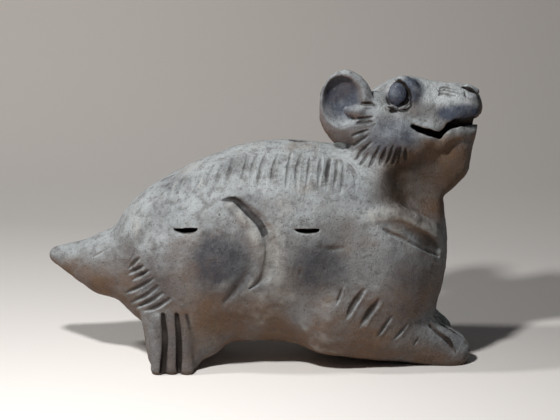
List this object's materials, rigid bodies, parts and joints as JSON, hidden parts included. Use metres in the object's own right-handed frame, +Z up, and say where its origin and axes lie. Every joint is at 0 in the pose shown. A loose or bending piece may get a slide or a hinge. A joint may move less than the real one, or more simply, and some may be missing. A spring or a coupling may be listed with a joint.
{
  "type": "pottery rat figurine",
  "caption": "Hand-built clay figure of a crouching rat with its head raised, round ears and a short thick tail; stands on its feet.",
  "frame": {"origin": "middle of the figure's bounding box, on the plane that its feet stand on", "axes": "+Z up, +X from the tail to the nose, +Y to the rat's left"},
  "size_m": [0.1612, 0.063, 0.1093],
  "materials": {
    "smoked_clay": "unglazed smoke-fired earthenware, matt, with a fine sandy grain"
  },
  "bodies": {
    "root": {"rat_figurine": "smoked_clay"}
  },
  "joints": []
}
